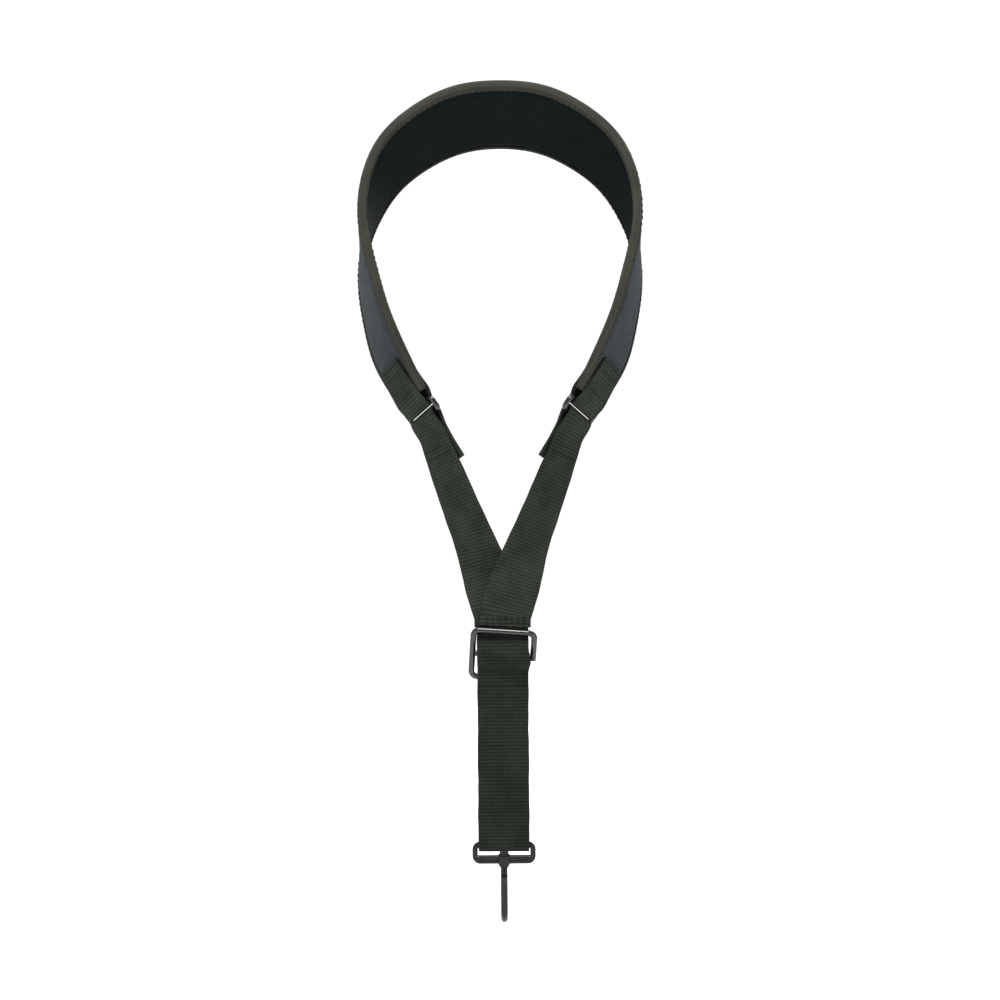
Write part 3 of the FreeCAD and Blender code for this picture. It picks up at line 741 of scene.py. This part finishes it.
def make_slider_webs(materials):
    """The web through the slider, its end round the middle bar, and the stretch above."""
    top, middle, bottom = slider_places()
    single = SLIDER_WRAP
    double = single + WEB_THICK + FIT_GAP
    front = [(0.45, UPPER_END), (0.35, top[1] - 3.0), (-1.7, top[1] - 6.2)]
    front += [(middle[0] - double * 0.92, middle[1] + 2.6), (middle[0] - double - 0.1, middle[1])]
    front += [(middle[0] - double * 0.92, middle[1] - 4.0)]
    front += [(bottom[0] - single - 0.6, bottom[1] + 4.0)]
    front += [(bottom[0] - single, bottom[1]), (bottom[0] - single - 0.1, LOWER_START)]
    web = webbing("slider_strap", flat_run(front))
    crease(web, ((-260.6, -0.20, 2.6, -2.5), (-268.6, -0.06, 2.6, 0.9)))
    crease(web, ((-265.5, 0.0, 4.5, 1.1),), spread=True)
    finish_piece(web, materials["drop"], "webbing", "slider", "slider_web")
    ring = arc(middle, np.array([1, 0]), np.array([0, 1]), single, 13, 195, 13)
    wrap = [(bottom[0] + single, LOWER_START), (bottom[0] + single, bottom[1])]
    wrap += [(bottom[0] + single - 0.2, bottom[1] + 4.5)] + [tuple(point) for point in ring]
    wrap += [(middle[0] - single * 0.45, middle[1] - 3.4), (middle[0] + 1.5, middle[1] - 5.4)]
    end = webbing("wrapped_end", flat_run(wrap), ribs=0.8)
    finish_piece(end, materials["drop"], "webbing", "slider", "bar_wrap")
    upper = webbing("stack_to_slider", flat_run([(0.45, STACK_END + 3), (0.45, UPPER_END - 0.1)]),
                    step=0.09, ribs=0.0)
    finish_piece(upper, materials["hanging"], "webbing", None, "drop_web_upper")
    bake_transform(upper)


def make_drop_web(materials):
    """The hanging web: down the front, round the loop's bar and up behind."""
    _, _, bottom = slider_places()
    single = SLIDER_WRAP
    radius = LOOP_SLEEVE / 2 + FIT_GAP + WEB_THICK / 2 + 0.04
    bar = np.array([0.0, LOOP_BAR_Z])
    fold = arc(bar, np.array([-1, 0]), np.array([0, -1]), radius, 0, 180, 13)
    front = bottom[0] - single - 0.1
    back = bottom[0] + single
    points = [(front, LOWER_START + 0.1), (front - 0.15, LOWER_START - 20)]
    points += [(-radius - 0.3, FOLD_START + 22)]
    points += [(-radius, FOLD_START)] + [tuple(point) for point in fold]
    points += [(radius, FOLD_START), (radius + 0.8, FOLD_START + 24), (back, LOWER_START + 0.1)]
    web = webbing("drop_strap", flat_run(points))
    folds = ((-280.6, -0.03, 0.7, -0.30), (-283.4, 0.04, 0.6, -0.22), (-299.0, 0.10, 9.0, -0.35))
    crease(web, folds, front_only=True)
    finish_piece(web, materials["drop"], "webbing", None,
                 "drop_web_front", "drop_web_back", "web_fold")
    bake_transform(web)


def make_stack_seam(materials):
    """Two rows of stitches through the stacked webs above the slider."""
    centre = np.array([1.4, STACK_MIDDLE - STACK_LAY - 0.72, 0.0])
    forward = np.array([0.0, -1.0, 0.0])
    rows = [(centre + UP * height, ACROSS_X, forward) for height in (-246.4, -244.2)]
    piece = cross_seam("stack_seam", rows)
    finish_piece(piece, materials["thread"], "thread", "strap", "stack_stitch")


def dress_cad(materials):
    """Materials on the CAD pieces that stay."""
    kinds = {"pad_core": "foam", "stretch_tape": "thread"}
    for name in ("ring_left", "ring_right", "slider_frame", "slider_bar", "hook_loop", "stud_head",
                 "swivel_washer", "hook"):
        kinds[name] = "wire" if "slider" in name or "ring" in name else "metal"
    for name, kind in kinds.items():
        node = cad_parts[name]
        node.data.materials.clear()
        node.data.materials.append(materials[kind])
        node.data.polygons.foreach_set("use_smooth", [True] * len(node.data.polygons))


# ---------------------------------------------------------------- light, floor and camera


def make_stage():
    """A pale world that looks brighter to the camera than it lights, a floor and four lights."""
    world = bpy.data.worlds.new("pale")
    bpy.context.scene.world = world
    world.use_nodes = True
    nodes = world.node_tree.nodes
    nodes["Background"].inputs["Color"].default_value = (1, 1, 1, 1)
    seen = nodes.new("ShaderNodeLightPath").outputs["Is Camera Ray"]
    strength = math_node(nodes, world.node_tree.links, "MULTIPLY", seen, WORLD_SEEN_EXTRA)
    strength = math_node(nodes, world.node_tree.links, "ADD", strength, WORLD_LIGHT)
    world.node_tree.links.new(strength, nodes["Background"].inputs["Strength"])
    bpy.ops.mesh.primitive_plane_add(size=8, location=(0, 0, FLOOR_HEIGHT))
    floor = bpy.context.object
    floor.name = "floor"
    material, _, _, shader = principled("floor_white")
    shader.inputs["Base Color"].default_value = (1, 1, 1, 1)
    shader.inputs["Roughness"].default_value = 0.9
    shader.inputs["Emission Color"].default_value = (1, 1, 1, 1)
    shader.inputs["Emission Strength"].default_value = 0.6
    floor.data.materials.append(material)
    lights = (("key", (-0.08, -0.42, 0.5), 14.0, 0.4), ("fill_right", (0.9, -0.7, 0.0), 4.0, 0.7),
              ("fill_left", (-0.9, -0.7, 0.0), 3.0, 0.7), ("back", (0.3, 0.9, 0.5), 8.0, 0.6))
    for name, place, power, size in lights:
        lamp = bpy.data.lights.new(name, "AREA")
        lamp.energy = power
        lamp.size = size
        light = bpy.data.objects.new(name, lamp)
        light.location = place
        aim = LIGHT_AIM - np.array(place)
        tilt = math.acos(-aim[2] / np.linalg.norm(aim))
        light.rotation_euler = (tilt, 0, math.atan2(-aim[0], aim[1]))
        bpy.context.scene.collection.objects.link(light)


def make_camera():
    data = bpy.data.cameras.new("camera")
    data.lens = 40
    data.sensor_width = 36
    camera = bpy.data.objects.new("camera", data)
    camera.location = CAMERA_PLACE
    camera.rotation_euler = (math.pi / 2, math.radians(CAMERA_ROLL_DEGREES), 0)
    bpy.context.scene.collection.objects.link(camera)
    bpy.context.scene.camera = camera
    bpy.context.scene.view_settings.view_transform = "Standard"


def main():
    materials = make_materials()
    run = pad_run()
    make_pad(materials, run)
    for side in ("left", "right"):
        make_arm(materials, run, side)
    make_slider_webs(materials)
    make_drop_web(materials)
    make_stack_seam(materials)
    dress_cad(materials)
    make_stage()
    make_camera()


main()
